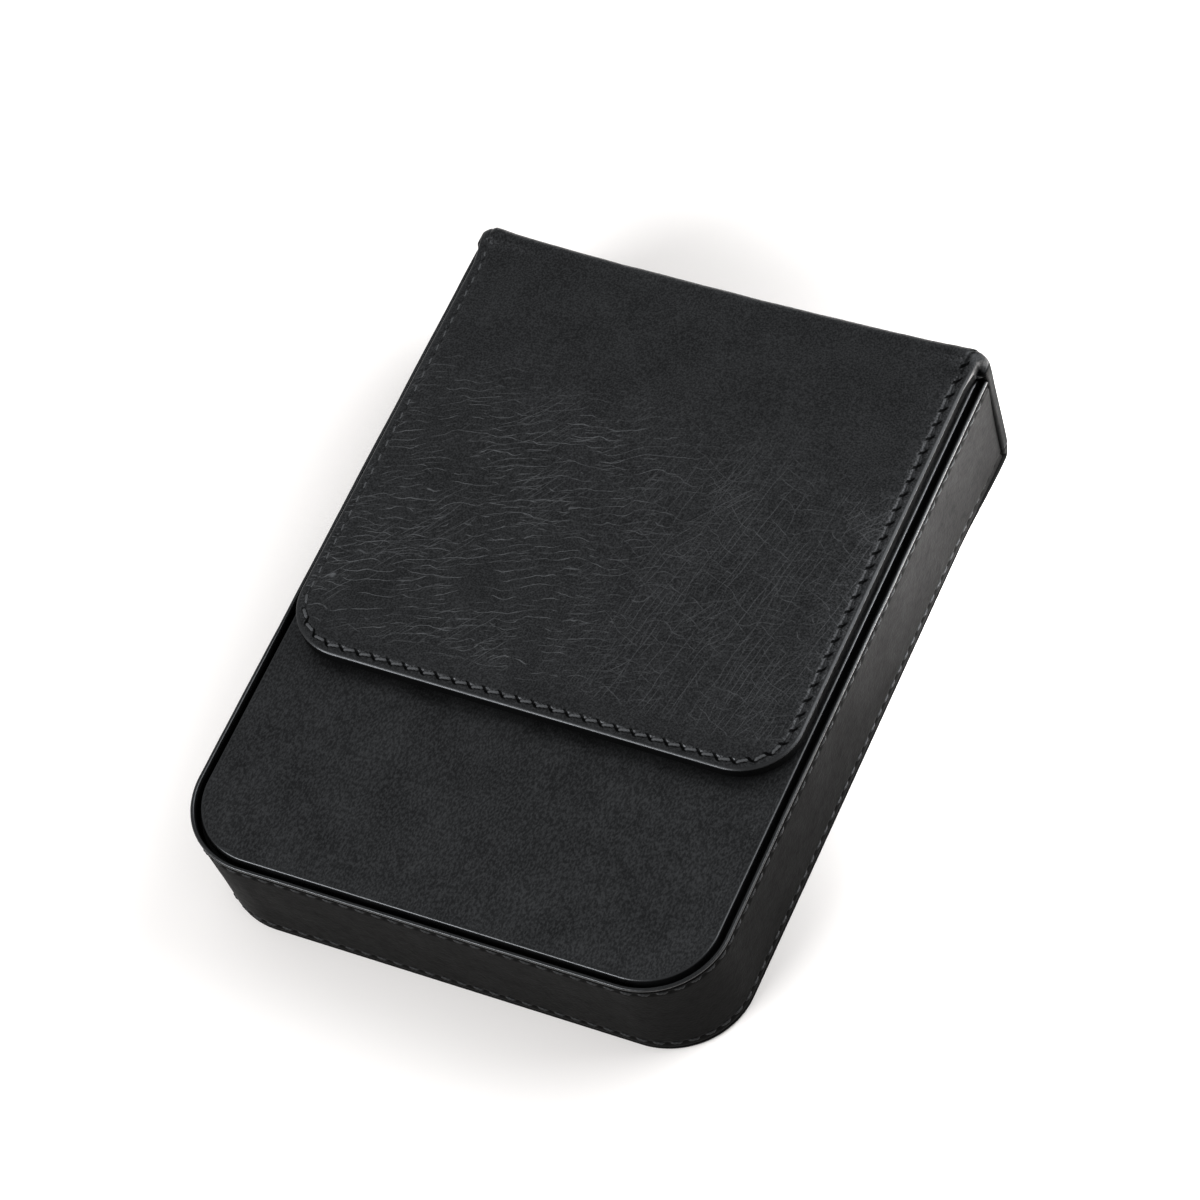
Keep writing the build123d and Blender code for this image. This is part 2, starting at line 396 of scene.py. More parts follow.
def make_flap_hide():
    bend = Bend(flap_free, flap_top, FOLD_RADIUS, 1, spine_face)
    end = bend.length_to(SEAM_Z)
    outline = Outline(flap_half, 0.0, end, FLAP_CORNER, STEP)
    rings = edge_rings(FLAP_DROP, EDGE_ROUND, 6.0) + face_rings(EDGE_ROUND, FLAP_CORNER)
    x, v, inset, drop, travel, quads = hide_pattern(outline, rings)
    total = outline.ring(STITCH_INSET)[4][-1]
    points = np.stack([x, v, np.zeros(len(x))], axis=1)
    on_spine = smooth(bend.fold_start, bend.fold_end, v)
    near_fold = smooth(bend.fold_start - 9 * MM, bend.fold_start, v)

    # the turned edge thins from the padded flap to the spine
    past_fold = smooth(bend.fold_end, bend.fold_end + 3 * MM, v)
    to_fold = smooth(bend.fold_start + 0.4 * MM, bend.fold_start + 2 * MM, v)
    depth = FLAP_DROP + (FOLD_DROP - FLAP_DROP) * to_fold + (SPINE_DROP - FOLD_DROP) * past_fold
    face = 1 - smooth(0, 0.36, drop)
    flap_only = 1 - near_fold
    past_edge = np.maximum(inset - EDGE_ROUND, 0)
    sag = -0.75 * MM * np.exp(-past_edge / (3.6 * MM)) * flap_only
    sag += 0.3 * MM * (1 - np.exp(-inset / (13 * MM))) * flap_only
    round_fold = np.exp(-(((v - bend.fold_start - 1.2 * MM) / (3.2 * MM)) ** 2))
    # the fold stands up towards its ends and is rounded off at them
    ends = 1.4 * (x / flap_half) ** 4 - 1.6 * np.exp(-((inset / (1.5 * MM)) ** 2))
    bulge = (0.8 + ends) * MM * round_fold

    inside = smooth(3.2 * MM, 8 * MM, inset)
    crease_span = smooth(5 * MM, 13 * MM, v) * (1 - smooth(66 * MM, 90 * MM, v))
    patchy = smooth(-0.35, 0.5, layered(points, 17 * MM, 31, 2))
    broad = 0.16 * layered(points, 26 * MM, 3) + 0.07 * layered(points, 8 * MM, 7)
    creases = crinkles(x, v, 11, 7.0 * MM, 2.1 * MM, 0.6)
    creases += 0.7 * crinkles(x, v, 23, 4.6 * MM, 1.5 * MM, 0.9)
    relief = (broad * (1 - 0.6 * on_spine) - 0.075 * creases * patchy * crease_span * inside) * MM
    # one long pucker beside the stitches of the free end, strongest towards one corner
    pucker_line = 4.6 * MM + 0.7 * MM * noise(points * [1, 0, 0], 9 * MM, 51)
    dip = np.exp(-(((v - pucker_line) / (0.6 * MM)) ** 2))
    ridge = np.exp(-(((v - pucker_line - 1.3 * MM) / (0.8 * MM)) ** 2))
    reach = smooth(2 * MM, 22 * MM, x) * (1 - smooth(38 * MM, 47 * MM, x))
    relief += (0.12 * ridge - 0.18 * dip) * reach * MM
    seam_fade = 1 - smooth(end - 3 * MM, end, v)
    face_height = sag + bulge + relief * inside * seam_fade
    seam = np.where(travel > 0, stitched_edge(inset, travel, total), 0) * (inset > 0.8 * MM)
    h = -drop * depth + face * (face_height + seam * seam_fade)

    x = x * hide_width(bend, x, v) / flap_half
    place = bend.place(x, v, h)
    piece = mesh_piece("flap_hide", place, quads, np.stack([x, v, h], axis=1))
    stitches = travel * round(total / STITCH_PITCH) / total
    mark(piece, "seam", np.stack([stitches, inset, drop], axis=1))
    clean(piece)
    thicken(piece, 0.85 * MM)
    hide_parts("flap_leather", "top_fold", "spine_leather")
    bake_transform(piece)
    return piece, bend, outline, total


# ---------------------------------------------------------------- back hide
def make_back_hide():
    bend = Bend(back_end, 0.0, BASE_RADIUS, -1, spine_face)
    end = bend.length_to(SEAM_Z)
    outline = Outline(back_half, 0.0, end, BACK_CORNER, 2 * STEP)
    rings = edge_rings(hide, 0.7 * MM, 4.0)
    count = round(BACK_CORNER / (3 * STEP))
    rings += [(0.7 * MM + (BACK_CORNER - 0.7 * MM) * i / count, 0.0) for i in range(1, count + 1)]
    x, v, inset, drop, travel, quads = hide_pattern(outline, rings)
    points = np.stack([x, v, np.full(len(x), 9 * MM)], axis=1)
    on_spine = smooth(bend.fold_start, bend.fold_end, v)
    depth = hide + (SPINE_DROP - hide) * on_spine
    face = 1 - smooth(0, 0.5, drop)
    relief = -0.05 * MM * (1 + layered(points, 20 * MM, 61) / 1.8) * smooth(0, 6 * MM, inset)
    relief *= 1 - smooth(end - 2 * MM, end, v)
    h = -drop * depth + face * np.minimum(relief, 0)
    spread = (rim_half + BASE_FLARE) / back_half - 1
    x = x * (1 + spread * smooth(bend.fold_start - 25 * MM, bend.fold_start, v))
    place = bend.place(x, v, h)
    piece = mesh_piece("back_hide", place, quads, np.stack([x, -v, h], axis=1))
    clean(piece)
    thicken(piece, 0.7 * MM)
    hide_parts("back_leather", "base_fold", "spine_leather")
    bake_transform(piece)
    return piece


# ---------------------------------------------------------------- side wall
SIDE_LEAN = rim_half - back_half
END_LEAN = back_end - rim_end
WALL = 1.2 * MM
RIM_BEAD = 0.9 * MM  # the leather is thinner where it ends at the rim
RIM_THREAD_Z = (rim_thread_low.z + rim_thread_high.z) / 2
BASE_THREAD_Z = (base_thread_low.z + base_thread_high.z) / 2


def wall_ring(outline, inset, z):
    """Stations of the side wall at one inset and height; the wall leans with height."""
    lean = 1 - z / rim_z
    return outline.ring(inset, rim_half - SIDE_LEAN * lean, rim_end + END_LEAN * lean)


def wall_section():
    """(inset, z) round the wall's leather: up its outside, over the rim and down inside."""
    section = [(0.55 * MM, hide), (0.2 * MM, hide + 0.05 * MM), (0.03 * MM, hide + 0.3 * MM)]
    low, high = hide + 0.6 * MM, rim_z - 1.25 * MM
    section += [(0.0, low + (high - low) * i / 56) for i in range(57)]
    # the seam under the rim's bead
    section += [(0.24 * MM, rim_z - 1.05 * MM), (0.26 * MM, rim_z - 0.95 * MM)]
    bead = RIM_BEAD / 2
    for turn in np.linspace(-0.35 * math.pi, math.pi, 14):
        section.append((bead - bead * math.cos(turn), rim_z - bead + bead * math.sin(turn)))
    section += [(RIM_BEAD, z * MM) for z in (28.6, 27.2)]
    section += [(WALL, z * MM) for z in (26.0, 18.0, 8.0)] + [(WALL, hide)]
    return section


def make_side_wall():
    outline = Outline(rim_half, rim_end, mouth, CORNER, STEP)
    section = wall_section()
    rim_total = wall_ring(outline, 0, RIM_THREAD_Z)[4][-1]
    base_total = wall_ring(outline, 0, BASE_THREAD_Z)[4][-1]
    verts, flat = [], []
    for inset, z in section:
        x, y, nx, ny, travel = wall_ring(outline, inset, z)
        outside = inset < 0.5 * WALL and z < rim_z - 1.1 * MM
        out = np.zeros(len(x))
        if outside:
            points = np.stack([travel, np.full(len(x), z), np.full(len(x), 4 * MM)], axis=1)
            rim_gap, base_gap = abs(z - RIM_THREAD_Z), abs(z - BASE_THREAD_Z)
            for gap, total in ((rim_gap, rim_total), (base_gap, base_total)):
                wave = stitch_wave(travel * total / travel[-1], total)
                out -= 0.16 * MM * math.exp(-((gap / (0.5 * MM)) ** 2))
                hole = np.exp(-((wave / (0.4 * MM)) ** 2))
                out -= 0.25 * MM * hole * math.exp(-((gap / (0.35 * MM)) ** 2))
            middle = math.sin(math.pi * z / rim_z)
            out += 0.1 * MM * layered(points, 24 * MM, 71) * middle
            out -= 0.15 * MM * middle
            # the walls stand a little further out at the mouth, near the back
            out += 0.4 * MM * smooth(mouth - 30 * MM, mouth, y) * (1 - z / rim_z)
        else:
            points = np.stack([travel, np.zeros(len(x)), np.zeros(len(x))], axis=1)
            out += 0.05 * MM * layered(points, 14 * MM, 77) * (z > rim_z - 3 * MM)
        verts.append(np.stack([x + nx * out, y + ny * out, np.full(len(x), z)], axis=1))
        flat.append(np.stack([travel, np.full(len(x), z), np.full(len(x), inset)], axis=1))
    count = len(verts[0])
    rows = len(section)
    quads = strips(rows, count)
    closing = strips(2, count)
    closing = np.where(closing >= count, closing - count, closing + (rows - 1) * count)
    verts = np.concatenate(verts)
    faces = [*quads.tolist(), *closing.tolist()]
    for column in (0, count - 1):
        faces.append([row * count + column for row in range(rows)])
    piece = mesh_piece("side_wall", verts, faces, np.concatenate(flat))
    clean(piece)
    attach(piece, "case")
    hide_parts("wall_leather")
    return piece, outline


# ---------------------------------------------------------------- front panel
def make_front_panel():
    bend = Bend(panel_end - 0.2 * MM, rim_z, 1.0 * MM, 1, mouth)
    depth = rim_z - panel_floor
    end = bend.length_to(panel_floor + 0.3 * MM)
    radius = CORNER - (rim_half - panel_half)
    outline = Outline(panel_half + 0.2 * MM, 0.0, end, radius + 0.2 * MM, 1.3 * STEP)
    rings = edge_rings(depth, 0.5 * MM, 1.2) + face_rings(0.5 * MM, radius + 0.2 * MM)
    x, v, inset, drop, travel, quads = hide_pattern(outline, rings)
    points = np.stack([x, v, np.full(len(x), 2 * MM)], axis=1)
    at_mouth = smooth(bend.fold_start - 1.5 * MM, bend.fold_start, v)
    depth_here = depth + (0.9 * MM - depth) * at_mouth
    face = 1 - smooth(0, 0.25, drop)
    open_part = 1 - smooth(40 * MM, 50 * MM, v)
    crown = 0.3 * MM * (1 - np.exp(-inset / (7 * MM))) * open_part
    lip = -0.1 * MM * np.exp(-(((inset - 2.2 * MM) / (1.0 * MM)) ** 2)) * open_part
    puffs = 0.1 * MM * layered(points, 16 * MM, 83) + 0.05 * MM * layered(points, 6 * MM, 87)
    corner_puffs = smooth(0, 20 * MM, x) * (1 - smooth(6 * MM, 16 * MM, v))
    ripples = 0.1 * MM * noise(points, 3.4 * MM, 91) * corner_puffs
    covered = 1 - 0.75 * smooth(45 * MM, 55 * MM, v)
    relief = (puffs + ripples) * smooth(0.8 * MM, 4 * MM, inset) * covered
    h = -drop * depth_here + face * (crown + lip + relief) * (1 - at_mouth)
    place = bend.place(x, v, h)
    piece = mesh_piece("front_panel", place, quads, np.stack([x, v + 0.3, h], axis=1))
    mark(piece, "seam", np.stack([travel, inset, drop], axis=1))
    clean(piece)
    thicken(piece, 0.8 * MM)
    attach(piece, "case")
    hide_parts("front_leather")
    return piece


# ---------------------------------------------------------------- threads
THREAD = 0.34 * MM
FLAP_SLANT, WALL_SLANT = 0.16, -0.12  # radians that the stitches lie across their line
WALL_THREAD_SINK = 0.34 * MM


def thread_line(name, places, tangents, normals, slant, length=2.7 * MM):
    """Short twisted stitches, each rising out of one hole and sinking into the next."""
    along_count, around_count = 15, 9
    t = np.linspace(-1, 1, along_count)
    angle = np.linspace(0, 2 * math.pi, around_count, endpoint=False)
    tt, aa = np.meshgrid(t, angle, indexing="ij")
    ply = 1 + 0.13 * np.cos(2 * (aa - tt * 5.2))
    thick = THREAD * np.sqrt(np.clip(1 - tt**8, 0.02, 1)) * ply
    lift = 0.16 * MM - 0.5 * MM * tt**4
    verts, faces = [], []
    ring = strips(along_count, around_count + 1)
    ring = np.where(ring % (around_count + 1) == around_count, ring - around_count, ring)
    rows, columns = ring // (around_count + 1), ring % (around_count + 1)
    quads = rows * around_count + columns
    for index, (place, tangent, normal) in enumerate(zip(places, tangents, normals)):
        side = np.cross(normal, tangent)
        turned = tangent * math.cos(slant) + side * math.sin(slant)
        side = np.cross(normal, turned)
        start = index * along_count * around_count
        centre = place + np.outer((tt * length / 2).ravel(), turned)
        centre = centre + np.outer(lift.ravel(), normal)
        around = np.outer((thick * np.cos(aa)).ravel(), side)
        around += np.outer((thick * np.sin(aa)).ravel(), normal)
        verts.append(centre + around)
        faces += (quads + start).tolist()
        faces.append([start + i for i in range(around_count)][::-1])
        last = start + (along_count - 1) * around_count
        faces.append([last + i for i in range(around_count)])
    verts = np.concatenate(verts)
    return mesh_piece(name, verts, faces, verts)


def between_holes(travel, total):
    """Travel at the middle of each stitch."""
    count = round(total / STITCH_PITCH)
    return (np.arange(count) + 0.5) * total / count


def flap_threads(bend, outline, total):
    """The flap's stitches, in one piece per body because the line runs on to the spine."""
    x, v, nx, ny, travel = outline.ring(STITCH_INSET)
    middles = between_holes(travel, total)
    mx, mv = np.interp(middles, travel, x), np.interp(middles, travel, v)
    step = 0.05 * MM
    low_x, low_v = np.interp(middles - step, travel, x), np.interp(middles - step, travel, v)
    high_x, high_v = np.interp(middles + step, travel, x), np.interp(middles + step, travel, v)

    def placed(px, pv, height):
        return bend.place(px * hide_width(bend, px, pv) / flap_half, pv, height)

    near_fold = smooth(bend.fold_start - 9 * MM, bend.fold_start, mv)
    sag = -0.7 * MM * (1 - near_fold)
    # they lie deeper along the sides than across the free end
    height = sag + (0.08 - 0.42 * smooth(6 * MM, 14 * MM, mv)) * MM
    here = placed(mx, mv, height)
    tangents = placed(high_x, high_v, height) - placed(low_x, low_v, height)
    tangents /= np.linalg.norm(tangents, axis=1)[:, None]
    normals = placed(mx, mv, height + MM) - here
    normals /= np.linalg.norm(normals, axis=1)[:, None]
    groups = {
        "flap": mv < bend.fold_start + 0.2 * MM,
        "spine": mv > bend.fold_end - 0.2 * MM,
    }
    made = []
    for body, chosen in groups.items():
        name = f"{body}_thread"
        piece = thread_line(
            name, here[chosen], tangents[chosen], normals[chosen], FLAP_SLANT
        )
        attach(piece, body)
        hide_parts(f"{body}_stitching")
        made.append(piece)
    # the few stitches on the fold itself are one more piece, laid along the fold
    on_fold = ~(groups["flap"] | groups["spine"])
    if on_fold.any():
        piece = thread_line(
            "fold_thread", here[on_fold], tangents[on_fold], normals[on_fold], FLAP_SLANT
        )
        start, stop = bend.blend_points()
        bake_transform(piece)
        made.append(piece)
    return made


def wall_threads(name, node, outline, z):
    x, y, nx, ny, travel = wall_ring(outline, 0, z)
    total = travel[-1]
    middles = between_holes(travel, total)
    middles = middles[(middles > 3 * MM) & (middles < total - 3 * MM)]
    place = np.stack([np.interp(middles, travel, c) for c in (x, y)], axis=1)
    normal = np.stack([np.interp(middles, travel, c) for c in (nx, ny)], axis=1)
    normal = np.column_stack([normal, np.zeros(len(middles))])
    place = np.column_stack([place, np.full(len(middles), z)]) - WALL_THREAD_SINK * normal
    tangent = np.cross([0, 0, 1.0], normal)
    piece = thread_line(name, place, tangent, normal, WALL_SLANT)
    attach(piece, "case")
    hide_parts(node)
    return piece


# ---------------------------------------------------------------- linings
def make_flap_lining():
    """The flap's suede underside: a thin pad sewn down round its edge."""
    low, high = flap_lining_low, flap_lining_high
    outline = Outline(high.x, 0.0, high.y - low.y - 2 * MM, FLAP_CORNER - 1 * MM, 2 * STEP)
    radius = FLAP_CORNER - 1 * MM
    count = round(radius / (2 * STEP))
    rings = [(0.0, 1.0), (0.0, 0.5), (0.1 * MM, 0.2), (0.3 * MM, 0.0)]
    rings += [(0.3 * MM + (radius - 0.3 * MM) * i / count, 0.0) for i in range(1, count + 1)]
    x, v, inset, drop, travel, quads = hide_pattern(outline, rings)
    points = np.stack([x, v, np.zeros(len(x))], axis=1)
    sewn = 0.16 * MM * np.exp(-(((inset - 1 * MM) / (0.5 * MM)) ** 2))
    relief = 0.05 * MM * (1 + layered(points, 15 * MM, 95) / 1.8) * smooth(0, 4 * MM, inset)
    z = low.z + drop * (high.z - low.z) + (sewn + relief) * (1 - drop)
    place = np.stack([x, v + low.y, z], axis=1)
    piece = mesh_piece("flap_lining_suede", place, quads, place)
    clean(piece)
    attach(piece, "flap")
    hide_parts("flap_lining")
    return piece


def strip_piece(name, half, path, thickness):
    """A thin strip of lining across a fold: path is its section in Y and Z."""
    path = np.array(path)
    fine = np.linspace(0, len(path) - 1, 8 * (len(path) - 1) + 1)
    section = np.stack([np.interp(fine, range(len(path)), path[:, i]) for i in (0, 1)], axis=1)
    for _ in range(6):
        section[1:-1] = (section[:-2] + 2 * section[1:-1] + section[2:]) / 4
    columns = 61
    xs = np.linspace(-half, half, columns)
    verts = [(x, y, z) for y, z in section for x in xs]
    piece = mesh_piece(name, verts, strips(len(section), columns), verts)
    solid = piece.modifiers.new("thickness", "SOLIDIFY")
    solid.thickness = thickness
    solid.offset = 0
    apply_modifiers(piece)
    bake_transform(piece)
    return piece


# ---------------------------------------------------------------- materials
class Nodes:
    """Builds a material's nodes; a value may be a number, a tuple or another node's output."""

    def __init__(self, name):
        self.material = bpy.data.materials.new(name)
        self.material.use_nodes = True
        self.tree = self.material.node_tree
        self.tree.nodes.clear()
        self.shader = self.tree.nodes.new("ShaderNodeBsdfPrincipled")
        output = self.tree.nodes.new("ShaderNodeOutputMaterial")
        self.tree.links.new(self.shader.outputs[0], output.inputs[0])

    def put(self, socket, value):
        if isinstance(value, bpy.types.NodeSocket):
            self.tree.links.new(value, socket)
        else:
            socket.default_value = value

    def add(self, kind, inputs=None, output=0, **settings):
        node = self.tree.nodes.new("ShaderNode" + kind)
        for key, value in settings.items():
            setattr(node, key, value)
        for key, value in (inputs or {}).items():
            self.put(node.inputs[key], value)
        return node.outputs[output]

    def math(self, operation, a, b=0.0):
        return self.add("Math", {0: a, 1: b}, operation=operation)

    def ramp(self, value, low, high, out_low=0.0, out_high=1.0):
        """A smooth ramp from out_low to out_high as value goes from low to high."""
        inputs = {0: value, 1: low, 2: high, 3: out_low, 4: out_high}
        return self.add("MapRange", inputs, interpolation_type="SMOOTHSTEP")

    def noise(self, place, size, detail=3.0, rough=0.55):
        inputs = {"Vector": place, "Scale": 1 / size, "Detail": detail, "Roughness": rough}
        return self.add("TexNoise", inputs)

    def mix(self, factor, a, b):
        node = self.tree.nodes.new("ShaderNodeMix")
        node.data_type = "RGBA"
        for index, value in ((0, factor), (6, a), (7, b)):
            self.put(node.inputs[index], value)
        return node.outputs[2]

    def bump(self, height, distance, strength=1.0, normal=None):
        inputs = {"Height": height, "Distance": distance, "Strength": strength}
        if normal is not None:
            inputs["Normal"] = normal
        return self.add("Bump", inputs)

    def scaled(self, place, factors):
        return self.add("VectorMath", {0: place, 1: factors}, operation="MULTIPLY")

    def set(self, **values):
        for key, value in values.items():
            self.put(self.shader.inputs[key.replace("_", " ")], value)


def grey(value, warm=0.0):
    return (value * (1 + warm), value, value * (1 - warm), 1)


CREASE_TONE = 0.105  # pale colour along the top of a crease
SLIT_SHADE_TONE = 0.002  # painted shade in a needle slit


def crease_lines(m, place, degrees, spacing, seed, sway=1.3, run=5 * MM, waver=0.6):
    """Long wavy lines lying one way, in short runs: 1 on a line and 0 between lines."""
    moved = m.add("VectorMath", {0: place, 1: (seed * 0.31, seed * 0.17, 0)}, operation="ADD")
    turned = m.add(
        "VectorRotate",
        {"Vector": moved, "Angle": -math.radians(degrees)},
        rotation_type="Z_AXIS",
    )
    across = m.add("SeparateXYZ", {0: turned}, output=1)
    drift = m.math("MULTIPLY", m.noise(moved, 11 * MM, 1.0), 2 * sway)
    wobble = m.math("MULTIPLY", m.noise(moved, 3.2 * MM, 1.0), waver)
    phase = m.math("ADD", m.math("DIVIDE", across, spacing), m.math("ADD", drift, wobble))
    off = m.math("ABSOLUTE", m.math("SUBTRACT", m.math("FRACT", phase), 0.5))
    half_line = 0.15 * MM / spacing
    line = m.ramp(off, 0.0, half_line, 1.0, 0.0)
    runs = m.noise(m.scaled(turned, (0.8 * MM / run, 1.0, 1.0)), 1.1 * MM, 2.0)
    return m.math("MULTIPLY", line, m.ramp(runs, 0.42, 0.62))


def flap_creases(m, place):
    """The creases of the flap: how strong a pale crease is at each place."""
    across_x = m.add("SeparateXYZ", {0: place})
    along_v = m.add("SeparateXYZ", {0: place}, output=1)
    crease_span = m.math(
        "MULTIPLY",
        m.ramp(along_v, 3 * MM, 10 * MM),
        m.ramp(along_v, 62 * MM, 86 * MM, 1.0, 0.0),
    )
    right = m.ramp(across_x, -18 * MM, 22 * MM)
    left = m.ramp(across_x, -10 * MM, 32 * MM, 1.0, 0.25)
    level_patch = m.math("MULTIPLY", left, m.ramp(m.noise(place, 17 * MM, 2.0), 0.4, 0.58))
    sweep_patch = m.ramp(m.noise(m.scaled(place, (1.0, 0.7, 1.0)), 14 * MM, 2.0), 0.5, 0.6)
    families = (
        (left, 0.9, crease_lines(m, place, 17, 2.0 * MM, 1, 1.7, 6 * MM)),
        (level_patch, 0.9, crease_lines(m, place, 10, 2.6 * MM, 2, 1.5)),
        (level_patch, 0.6, crease_lines(m, place, 26, 1.6 * MM, 3, 1.5, 5 * MM)),
        (sweep_patch, 0.55, crease_lines(m, place, 52, 1.3 * MM, 4, 0.8, 14 * MM, 0.25)),
        (sweep_patch, 0.4, crease_lines(m, place, 60, 1.7 * MM, 8, 0.7, 14 * MM, 0.25)),
        (right, 0.45, crease_lines(m, place, 78, 1.3 * MM, 5, 0.7, 14 * MM, 0.2)),
        (right, 0.3, crease_lines(m, place, 88, 1.9 * MM, 9, 0.6, 12 * MM, 0.2)),
        (right, 0.5, crease_lines(m, place, -27, 3.6 * MM, 6, 1.0, 6 * MM, 0.3)),
        (right, 0.4, crease_lines(m, place, 14, 3.4 * MM, 7, 1.2, 6 * MM, 0.4)),
    )
    total = None
    for place_factor, strength, lines in families:
        layer = m.math("MULTIPLY", m.math("MULTIPLY", place_factor, strength), lines)
        total = layer if total is None else m.math("MAXIMUM", total, layer)
    return m.math("MULTIPLY", total, crease_span)


def painted_stitch_shade(m):
    """Painted shade in the slanting awl slits and their channel: 1 in a slit, less in the
    channel, else 0.
    """
    seam = m.add("Attribute", output=1, attribute_name="seam")
    along = m.add("SeparateXYZ", {0: seam})
    inset = m.add("SeparateXYZ", {0: seam}, output=1)
    off = m.math("SUBTRACT", inset, STITCH_INSET)
    slanted = m.math("ADD", along, m.math("MULTIPLY", off, 1.0 / STITCH_PITCH))
    share = m.math("FRACT", m.math("ADD", slanted, 0.5))
    from_hole = m.math("ABSOLUTE", m.math("SUBTRACT", share, 0.5))
    from_line = m.math("ABSOLUTE", off)
    near_hole = m.ramp(from_hole, 0.07, 0.17, 1.0, 0.0)
    slit = m.math("MULTIPLY", near_hole, m.ramp(from_line, 0.5 * MM, 1.0 * MM, 1.0, 0.0))
    channel = m.ramp(from_line, 0.1 * MM, 0.5 * MM, 0.6, 0.0)
    # the painted shade is weaker down the left side, away from the free end
    flat = m.add("Attribute", output=1, attribute_name="flat")
    shade_side = m.ramp(m.add("SeparateXYZ", {0: flat}), -52 * MM, -44 * MM, 0.3, 1.0)
    shade_end = m.ramp(m.add("SeparateXYZ", {0: flat}, output=1), 6 * MM, 12 * MM, 1.0, 0.0)
    shade_share = m.math("MAXIMUM", shade_side, shade_end)
    return m.math("MULTIPLY", m.math("MAXIMUM", slit, channel), shade_share)


def leather(
    name, tone, gloss, creased=False, grain=1.0, coat=0.2, level=0.5, stretch=1.0, warm=0.0
):
    """Glazed black leather: fine pores, soft mottling and, where asked, pale creases and painted
    shade in the stitch slits.

    gloss is the roughness, grain the strength of the pores, level the specular level and
    stretch how much longer than wide the pores are.
    """
    m = Nodes(name)
    place = m.add("Attribute", output=1, attribute_name="flat")
    lengthwise = m.scaled(place, (1.0, 1 / stretch, 1.0))
    pores = m.add(
        "TexVoronoi",
        {"Vector": lengthwise, "Scale": 1 / (0.7 * MM), "Randomness": 1.0},
        feature="F1",
    )
    fine = m.noise(lengthwise, 0.4 * MM, 4.0, 0.6)
    mottle = m.noise(place, 11 * MM, 4.0, 0.6)
    scuffs = m.noise(lengthwise, 2.4 * MM, 5.0, 0.7)
    color = m.mix(m.ramp(mottle, 0.3, 0.7), grey(tone * 0.75, warm), grey(tone * 1.3, warm))
    color = m.mix(m.ramp(fine, 0.45, 0.7, 0.0, 0.4 * grain), color, grey(tone * 2.4, warm))
    rough = m.ramp(mottle, 0.3, 0.75, gloss - 0.05, gloss + 0.06)
    rough = m.math("ADD", rough, m.ramp(scuffs, 0.4, 0.8, 0.0, 0.1))
    normal = m.bump(fine, 0.05 * MM, 0.5 * grain)
    normal = m.bump(pores, 0.12 * MM, 0.55 * grain, normal)
    # where leather is polished, the tops of its grain shine more than its hollows
    if coat:
        tops = m.ramp(fine, 0.36, 0.64, 1 - 0.5 * grain, 1 + 0.5 * grain)
        level = m.math("MULTIPLY", tops, level)
    if creased:
        lines = flap_creases(m, place)
        color = m.mix(lines, color, grey(CREASE_TONE))
        normal = m.bump(lines, 0.06 * MM, 0.6, normal)
        rough = m.math("ADD", rough, m.math("MULTIPLY", lines, 0.1))
        # painted shade: the stitch slits and their channel are darkened, with less coat and
        # specular level there
        slits = painted_stitch_shade(m)
        color = m.mix(slits, color, grey(SLIT_SHADE_TONE))
        coat = m.ramp(slits, 0.0, 1.0, coat, 0.0)
        level = m.math("MULTIPLY", level, m.ramp(slits, 0.0, 1.0, 1.0, 0.1))
    m.set(Base_Color=color, Roughness=rough, Normal=normal)
    m.set(Coat_Weight=coat, Coat_Roughness=0.25, Specular_IOR_Level=level)
    return m.material


def suede(name, tone):
    """Short, soft nap that catches the light at its edges."""
    m = Nodes(name)
    place = m.add("TexCoord", output=3)
    nap = m.noise(place, 0.5 * MM, 5.0, 0.7)
    brushed = m.noise(m.scaled(place, (1.0, 0.4, 1.0)), 11 * MM, 3.0)
    color = m.mix(brushed, grey(tone * 0.75), grey(tone * 1.35))
    m.set(Base_Color=color, Roughness=0.92, Normal=m.bump(nap, 0.12 * MM, 0.7))
    m.set(Sheen_Weight=0.5, Sheen_Roughness=0.4, Specular_IOR_Level=0.2)
    return m.material


def board(name, tone):
    """Dense fibreboard: flecked, dull and slightly warm."""
    m = Nodes(name)
    place = m.add("TexCoord", output=3)
    fibres = m.noise(m.scaled(place, (1.0, 0.25, 1.0)), 0.8 * MM, 5.0, 0.7)
    color = m.mix(fibres, grey(tone * 0.7, 0.06), grey(tone * 1.4, 0.06))
    m.set(Base_Color=color, Roughness=0.85, Normal=m.bump(fibres, 0.05 * MM, 0.5))
    return m.material


def foam(name, tone):
    """Closed-cell foam with fine bubbles."""
    m = Nodes(name)
    place = m.add("TexCoord", output=3)
    cells = m.add("TexVoronoi", {"Vector": place, "Scale": 1 / (0.5 * MM)}, feature="F1")
    color = m.mix(cells, grey(tone * 0.6), grey(tone * 1.3))
    m.set(Base_Color=color, Roughness=0.95, Normal=m.bump(cells, 0.1 * MM, 0.6))
    return m.material


def waxed_thread(name, tone):
    """Waxed black polyester, with faint fibres along each ply."""
    m = Nodes(name)
    place = m.add("TexCoord", output=3)
    fibres = m.noise(place, 0.09 * MM, 3.0)
    color = m.mix(fibres, grey(tone * 0.8), grey(tone * 1.4))
    m.set(Base_Color=color, Roughness=0.6, Normal=m.bump(fibres, 0.03 * MM, 0.5))
    return m.material


def metal(name, tone, rough, brushed):
    """Plated sheet metal with fine rolling lines."""
    m = Nodes(name)
    place = m.add("TexCoord", output=3)
    lines = m.noise(m.scaled(place, (brushed, 1.0, 1.0)), 0.25 * MM, 4.0, 0.7)
    color = m.mix(lines, grey(tone * 0.85), grey(tone * 1.1))
    m.set(Base_Color=color, Metallic=1.0, Normal=m.bump(lines, 0.01 * MM, 0.4))
    m.set(Roughness=m.ramp(lines, 0.3, 0.7, rough - 0.05, rough + 0.08))
    return m.material


